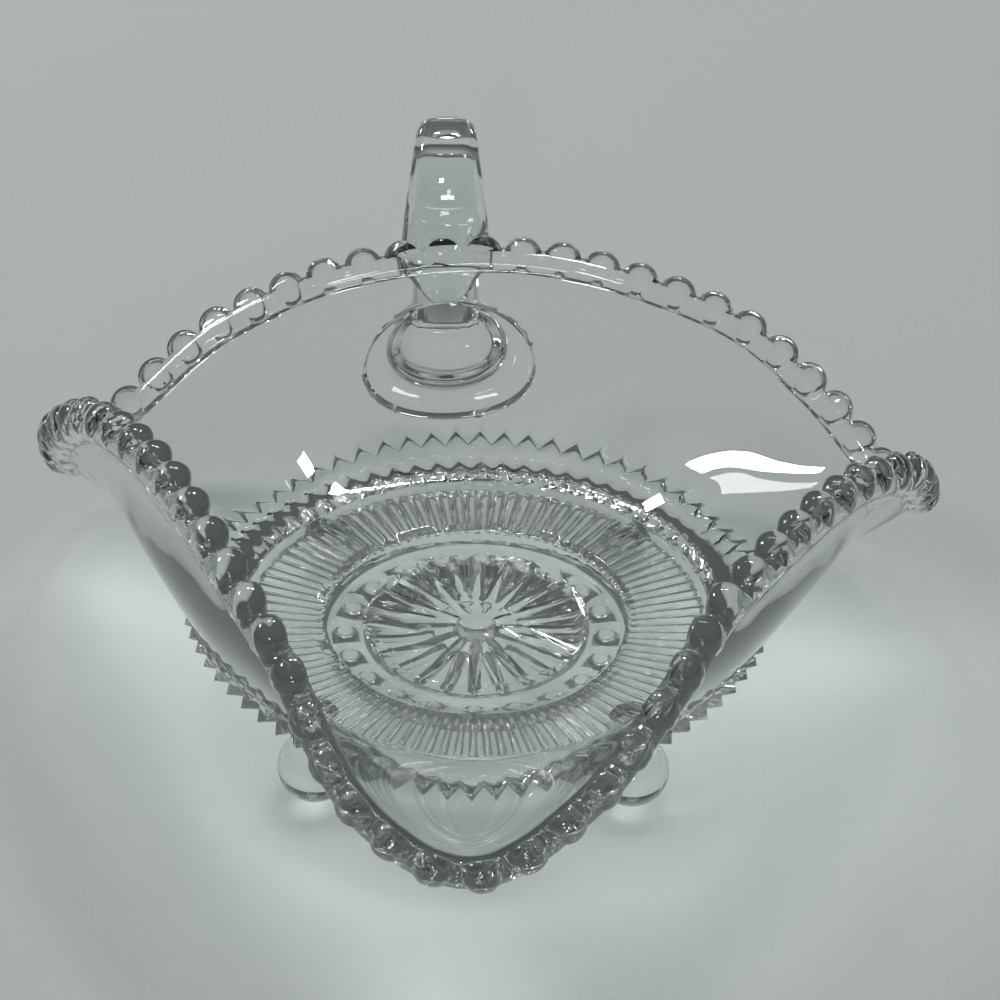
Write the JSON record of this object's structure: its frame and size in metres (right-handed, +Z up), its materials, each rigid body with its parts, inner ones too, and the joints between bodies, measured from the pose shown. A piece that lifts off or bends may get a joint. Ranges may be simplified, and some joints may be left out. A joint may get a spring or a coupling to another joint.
{
  "type": "footed dish",
  "caption": "Clear pressed-glass dish on ball feet with a folded three-cornered beaded rim, a ribbed and starred floor and a loop handle.",
  "frame": {"origin": "middle of the round base, on the surface that the four feet stand on", "axes": "+Z up, +Y towards the back where the handle is, +X towards the right of someone in front of the lip"},
  "size_m": [0.1466, 0.1749, 0.061],
  "materials": {
    "clear_glass": "fire-polished"
  },
  "bodies": {
    "root": {"dish_wall": "clear_glass", "rim_beads": "clear_glass", "sawtooth_band": "clear_glass", "ribbed_floor": "clear_glass", "hob_ring": "clear_glass", "star_medallion": "clear_glass", "foot_front_left": "clear_glass", "foot_front_right": "clear_glass", "foot_back_left": "clear_glass", "foot_back_right": "clear_glass", "handle_loop": "clear_glass", "handle_pad": "clear_glass", "handle_tongue": "clear_glass"}
  },
  "joints": []
}
